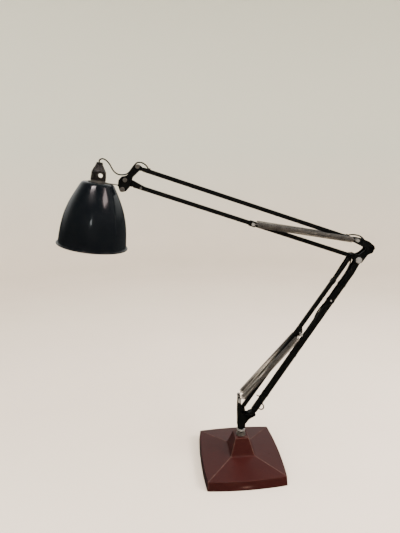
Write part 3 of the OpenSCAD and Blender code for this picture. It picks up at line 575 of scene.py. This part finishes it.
def base_rows():
    """The keys and the rows of points between them, from the foot up to the hole for the stem."""
    shapes = [np.column_stack([outline, np.full(len(outline), z)]) for outline, z in BASE_KEYS]
    hub = shapes[3].copy()
    hub[:, :2] = on_circle(hub, HUB_R)
    shapes.append(hub)

    def step(a, b, d):
        gap = np.linalg.norm(b - a, axis=1)[:, None]
        return a + (b - a) * np.minimum(d / gap, 0.45)

    rows = []
    start = shapes[0]
    for k in range(1, 5):
        end = shapes[k] if k == 4 else step(shapes[k], shapes[k - 1], ROUNDING[k])
        rows += [start + (end - start) * f for f in np.linspace(0, 1, ROWS_BETWEEN[k] + 1)[:-1]]
        if k == 4:
            rows.append(end)
            break
        after = step(shapes[k], shapes[k + 1], ROUNDING[k])
        rows += [(1 - f) ** 2 * end + 2 * f * (1 - f) * shapes[k] + f * f * after
                 for f in np.linspace(0, 1, ROUND_ROWS)]
        start = after + (shapes[k + 1] - after) * 0.02
    return shapes, rows


def base_cover():
    shapes, rows = base_rows()
    n = len(shapes[0])
    verts = np.concatenate(rows)
    faces = [[i * n + k, i * n + (k + 1) % n, (i + 1) * n + (k + 1) % n, (i + 1) * n + k]
             for i in range(len(rows) - 1) for k in range(n)]
    quarter = SIDE_POINTS + CORNER_POINTS
    corners = [q * quarter + SIDE_POINTS + more for more in (3, 2) for q in range(4)]
    # lighter lines down the corner ridges and along the keys: painted highlight on the rounded edges, partly
    # also wear
    ridge = []
    for row in rows:
        tips = row[[c % n for c in corners]]
        d = np.linalg.norm(row[:, None, :] - tips[None, :, :], axis=2).min(1)
        ridge.append(np.exp(-(d / RIDGE_WIDTH) ** 2))
    ridge = np.concatenate(ridge)
    for shape, (bright, wide) in zip(shapes, EDGE_WEAR_AND_HIGHLIGHT):
        d = np.concatenate([np.linalg.norm(row - shape, axis=1) for row in rows])
        ridge = np.maximum(ridge, bright * np.exp(-(d / wide) ** 2))
    # a lighter patch low on the front of the skirt
    pale_patch = np.exp(-((verts[:, 0] + 4.8) / 11) ** 2 - ((verts[:, 2] - 9) / 1.6) ** 2) * (verts[:, 1] < -95)
    obj = piece("base_cover_shell", turned_as_base(verts), faces, [OXBLOOD], soft_angle=60)
    for label, values in (("ridge", ridge), ("pale_patch", pale_patch)):
        field = obj.data.attributes.new(label, "FLOAT", "POINT")
        field.data.foreach_set("value", values.astype(np.float32))
    thick = obj.modifiers.new("thickness", "SOLIDIFY")
    thick.thickness, thick.offset = 0.002, -1
    return obj


cover = base_cover()
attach(cover, "base")
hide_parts("base_cover")

# ---------- shade ----------

SPUN = np.array([(74.9, 4), (71.8, 63.4), (63.6, 88.6), (35.6, SHADE_H - 3.6)])


def spun_wall(s):
    return ((1 - s) ** 3 * SPUN[0] + 3 * s * (1 - s) ** 2 * SPUN[1] + 3 * s * s * (1 - s) * SPUN[2]
            + s ** 3 * SPUN[3])


def shade_outline():
    t = 1.2
    wall = [tuple(spun_wall(s)) for s in np.linspace(0, 1, 48)]
    outer = [(14.3, SHADE_H), (22, SHADE_H), (29.0, SHADE_H), (31.2, SHADE_H - 0.2),
             (33.4, SHADE_H - 1.2)] + wall[::-1][:-1]
    bead = arc(RIM_D / 2 - 2.2, 2.2, 2.2, 128, -140, 16)
    lip = [(73.9, 3.2)]
    inner = [(r - t, z) for r, z in wall[1:]] + [
        (32.4, SHADE_H - 2.3), (30.4, SHADE_H - t - 0.1), (22, SHADE_H - t), (14.3, SHADE_H - t)]
    outline = outer + bead + lip + inner
    kinds = [0] * (len(outer) + len(bead)) + [1] * (len(outline) - len(outer) - len(bead))
    return outline, kinds


outline, kinds = shade_outline()
shade = lathe("shade_shell", outline, 144, [GLOSS, INSIDE], kinds=kinds, soft_angle=50)
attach(shade, "shade")
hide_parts("shade")

# ---------- lampholder cap, moulded with ribs -------------------

BODY_TOP = SHADE_H + 2 + 3 + 0.35 + 17.5
CAP_H = 15.0


def ribbed(low, high, deep, count):
    def scale(a, i):
        if low <= i <= high:
            return 1 - deep * (0.5 + 0.5 * math.cos(count * a)) ** 2
        return 1
    return scale


cap_line = [(1.8, BODY_TOP + 2), (1.8, BODY_TOP + 0.1), (15.0, BODY_TOP + 0.05), (15.5, BODY_TOP + 0.4),
            (15.4, BODY_TOP + 1.0), (14.7, BODY_TOP + 1.9), (13.3, BODY_TOP + 4.4),
            (12.9, BODY_TOP + 5.4), (12.0, BODY_TOP + 7.6), (11.3, BODY_TOP + 8.6),
            (9.9, BODY_TOP + 10.6), (9.5, BODY_TOP + 11.4), (8.9, BODY_TOP + 13.4),
            (8.3, BODY_TOP + CAP_H - 0.3), (7.9, BODY_TOP + CAP_H), (1.8, BODY_TOP + CAP_H)]
cap = lathe("lampholder_cap_ribbed", cap_line, 168, [BAKELITE], ribs=ribbed(6, 10, 0.055, 24))
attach(cap, "shade")
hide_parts("lampholder_cap")

# ---------- springs, each one length of wire from eye to eye ----------


WIRE_R = 0.75
COIL_R = 6.0
STUD_R = 2.2
STUD_PLAY = 0.4
EYE_R = STUD_R + STUD_PLAY + WIRE_R
EYE_POINTS = 26
COIL_IN = 10.0
BLEND_IN = 14
TURN_POINTS = 16


def eye(first, last):
    """An open turn of wire in the arms' plane, as (along, across)."""
    angles = np.radians(np.linspace(first, last, EYE_POINTS))
    return [(EYE_R * math.sin(a), EYE_R * math.cos(a)) for a in angles]


def spring(name, foot, tip, y, turns, nodes):
    """One length of wire, (along, across, out): the foot's eye, a shank, the coil, a shank, the tip's eye."""
    length = math.dist(foot, tip)
    way = plane_way(foot, tip)
    across = np.array([way[1], -way[0]])
    shank = EYE_R + 1.2
    coil = []
    for k in range(turns * TURN_POINTS + 1):
        f = k / (turns * TURN_POINTS)
        a = 2 * math.pi * turns * f + math.pi / 2
        r = COIL_R * min(1.0, 0.25 + 0.75 * min(f, 1 - f) * turns / 1.2)
        coil.append((COIL_IN + (length - 2 * COIL_IN) * f, r * math.cos(a), r * math.sin(a)))
    wire = [(u, v, 0.0) for u, v in eye(-160, 90)] + [(shank, 0.6, 0.0)] + coil
    wire += [(length - shank, 0.6, 0.0)] + [(length - u, v, 0.0) for u, v in eye(90, 340)]
    wire = np.array(wire)
    # ease the two places where the wire leaves the coil
    for i in (EYE_POINTS, EYE_POINTS + 1, EYE_POINTS + 2, -EYE_POINTS - 2, -EYE_POINTS - 3, -EYE_POINTS - 1):
        i %= len(wire)
        wire[i] = 0.25 * wire[i - 1] + 0.5 * wire[i] + 0.25 * wire[i + 1]
    world = [(foot[0] + way[0] * u + across[0] * v, y + w, foot[1] + way[1] * u + across[1] * v)
             for u, v, w in wire]
    obj = tube(name, world, WIRE_R, 8, SPRING)
    a, b = np.array(foot) + way * BLEND_IN, np.array(foot) + way * (length - BLEND_IN)
    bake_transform(obj)
    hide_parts(*nodes)
    return obj


for side, y, more in (("front", -SPRING_Y, True), ("back", SPRING_Y, False)):
    spring("lower_spring_wire_" + side, LOWER_STUD, LOWER_PIN, y, 96,
           ["lower_spring_" + side] + (["lower_spring_hooks"] if more else []))
    spring("upper_spring_wire_" + side, UPPER_STUD, UPPER_PIN, y, 100,
           ["upper_spring_" + side] + (["upper_spring_hooks"] if more else []))

# ---------- the bright screw of the flex clip ----------

at = np.array(by_tube(111, 1.8, -7.1))
head = arc(0, 0, 2.35, 0, 78, 7)
screw_line = [(0.3, -0.3), (2.35, -0.3)] + [(r, 0.55 * z) for r, z in head] + [(0.3, 1.27)]
screw = lathe("flex_clip_screw", screw_line,
              32, [BRIGHT], place=lambda v: [(at[0] + x, at[1] - z, at[2] + y) for x, y, z in v])
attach(screw, "lower_arm")

# ---------- felt under the base ----------


def felt_pad():
    outer = base_outline(93.6, 5.4, 5.0)
    n = len(outer)
    inner = on_circle(outer, 18.2)
    rng = np.random.default_rng(7)
    ragged = 1 + rng.normal(0, 0.0012, n)
    rows = []
    for z, f in ((2.0, 0.0), (2.0, 0.9965), (1.5, 0.9995), (0.6, 0.9992), (0.0, 0.992), (0.0, 0.0)):
        p = inner + (outer * ragged[:, None] - inner) * f
        rows.append(np.column_stack([p, np.full(n, z)]))
    verts = np.concatenate(rows)
    m = len(rows)
    faces = [[i * n + k, ((i + 1) % m) * n + k, ((i + 1) % m) * n + (k + 1) % n, i * n + (k + 1) % n]
             for i in range(m) for k in range(n)]
    return piece("base_felt", turned_as_base(verts), faces, [FELT], soft_angle=40)


felt = felt_pad()
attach(felt, "base")
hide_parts("base_pad")

# ---------- stage: floor, backdrop, light ----------


def stage_material(name, one, two, scale, depth):
    f = Finish(name)
    f.colour(f.mix(f.span(f.noise(scale, 4, 0.6), 0.3, 0.7), one, two))
    f.fixed(Roughness=0.95, Specular_IOR_Level=0.15)
    f.bump(f.noise(scale * 60, 3), depth)
    return f


def disc_rows(profile, count, name, mat):
    verts, faces = [], []
    for k in range(count):
        a = 2 * math.pi * k / count
        verts += [(r * math.cos(a), r * math.sin(a), z) for r, z in profile]
    n = len(profile)
    for k in range(count):
        m = (k + 1) % count
        faces += [[k * n + i, m * n + i, m * n + i + 1, k * n + i + 1] for i in range(n - 1)]
    mesh = bpy.data.meshes.new(name)
    mesh.from_pydata(verts, [], faces)
    mesh.shade_smooth()
    mesh.materials.append(mat)
    obj = bpy.data.objects.new(name, mesh)
    scene.collection.objects.link(obj)
    return obj


floor_finish = stage_material("floor", (0.86, 0.735, 0.62), (0.89, 0.765, 0.65), 3, 0.0002)
wall_finish = stage_material("wall", (0.66, 0.64, 0.575), (0.68, 0.66, 0.60), 0.8, 0.0001)
f = wall_finish
high = f.add("ShaderNodeSeparateXYZ")
f.link(f.place, high.inputs[0])
rise = f.span(high.outputs["Z"], 0.0, 0.9)
low_tone = f.mix(f.span(f.noise(3, 4, 0.6), 0.3, 0.7), (0.86, 0.735, 0.62), (0.89, 0.765, 0.65))
f.colour(f.mix(rise, low_tone, (0.72, 0.73, 0.64)))
ground = disc_rows([(0.0001, 0), (0.5, 0), (1.0, 0), (1.9, 0)], 96, "floor", floor_finish.mat)
bowl = disc_rows([(1.9, 0), (2.1, 0.012)] + [(2.1 + 1.1 * math.sin(a), 0.012 + 1.1 * (1 - math.cos(a)))
                 for a in np.linspace(0.1, math.pi / 2, 14)] + [(3.2, 2.0), (3.2, 4.2)],
                 96, "backdrop", wall_finish.mat)
ground.visible_glossy = bowl.visible_glossy = False


def area(name, azimuth, elevation, far, wide, tall, watts, colour, diffuse=True, glossy=True,
         towards=(-0.1, 0, 0.45)):
    """A soft light. Azimuth 0 is beyond the lamp, 90 at its right, 180 behind the camera."""
    a, e = math.radians(azimuth), math.radians(elevation)
    way = Vector((math.sin(a) * math.cos(e), math.cos(a) * math.cos(e), math.sin(e)))
    light = bpy.data.lights.new(name, "AREA")
    light.shape, light.size, light.size_y = "RECTANGLE", wide, tall
    light.energy, light.color = watts, colour
    obj = bpy.data.objects.new(name, light)
    obj.location = Vector(towards) + way * far
    obj.rotation_euler = way.to_track_quat("Z", "Y").to_euler()
    obj.visible_diffuse, obj.visible_glossy = diffuse, glossy
    obj.visible_camera = False
    scene.collection.objects.link(obj)
    return obj


SHADE_AT = (-0.32, -0.04, 0.66)
area("window_right", 113, 34, 2.3, 1.5, 0.95, 96, (1.0, 0.93, 0.89), glossy=False)
area("ceiling", 200, 78, 2.4, 2.6, 2.2, 122, (1.0, 0.98, 0.95), glossy=False)
area("front_fill", 196, 30, 2.5, 2.4, 1.6, 20, (1.0, 0.97, 0.94), glossy=False)
area("shine_window", 188, 55.5, 2.6, 0.85, 0.17, 15.0, (1.0, 0.86, 0.84), diffuse=False, towards=SHADE_AT)
area("shine_streak", 112, 34, 2.6, 0.95, 0.42, 9.0, (1.0, 0.80, 0.77), diffuse=False, towards=SHADE_AT)
area("shine_spot", 176, 16, 2.6, 0.10, 0.20, 1.1, (0.95, 1.0, 1.0), diffuse=False, towards=SHADE_AT)

world = bpy.data.worlds.new("room")
scene.world = world
world.use_nodes = True
wt = world.node_tree
wt.nodes.clear()
wo = wt.nodes.new("ShaderNodeOutputWorld")
bg = wt.nodes.new("ShaderNodeBackground")
pale = wt.nodes.new("ShaderNodeBackground")
both = wt.nodes.new("ShaderNodeMixShader")
path = wt.nodes.new("ShaderNodeLightPath")
where = wt.nodes.new("ShaderNodeTexCoord")
split = wt.nodes.new("ShaderNodeSeparateXYZ")
ramp = wt.nodes.new("ShaderNodeValToRGB")
wt.links.new(where.outputs["Generated"], split.inputs[0])
to_share = wt.nodes.new("ShaderNodeMapRange")
to_share.inputs[1].default_value, to_share.inputs[2].default_value = -1, 1
wt.links.new(split.outputs["Y"], to_share.inputs[0])
wt.links.new(to_share.outputs[0], ramp.inputs[0])
stops = [(0.0, (0.010, 0.012, 0.014)), (0.42, (0.02, 0.024, 0.026)), (0.56, (0.16, 0.165, 0.16)),
         (0.72, (0.55, 0.56, 0.54)), (1.0, (0.80, 0.80, 0.76))]
while len(ramp.color_ramp.elements) < len(stops):
    ramp.color_ramp.elements.new(0.5)
for e, (at, tone) in zip(ramp.color_ramp.elements, stops):
    e.position, e.color = at, (*tone, 1)
wt.links.new(ramp.outputs[0], bg.inputs["Color"])
above = wt.nodes.new("ShaderNodeMapRange")
for i, v in enumerate((0.02, 0.30, 0.10, 1.3)):
    above.inputs[i + 1].default_value = v
wt.links.new(split.outputs["Z"], above.inputs[0])
wt.links.new(above.outputs[0], bg.inputs["Strength"])
pale.inputs["Color"].default_value = (0.72, 0.73, 0.64, 1)
pale.inputs["Strength"].default_value = 1.0
wt.links.new(path.outputs["Is Camera Ray"], both.inputs[0])
wt.links.new(bg.outputs[0], both.inputs[1])
wt.links.new(pale.outputs[0], both.inputs[2])
wt.links.new(both.outputs[0], wo.inputs["Surface"])
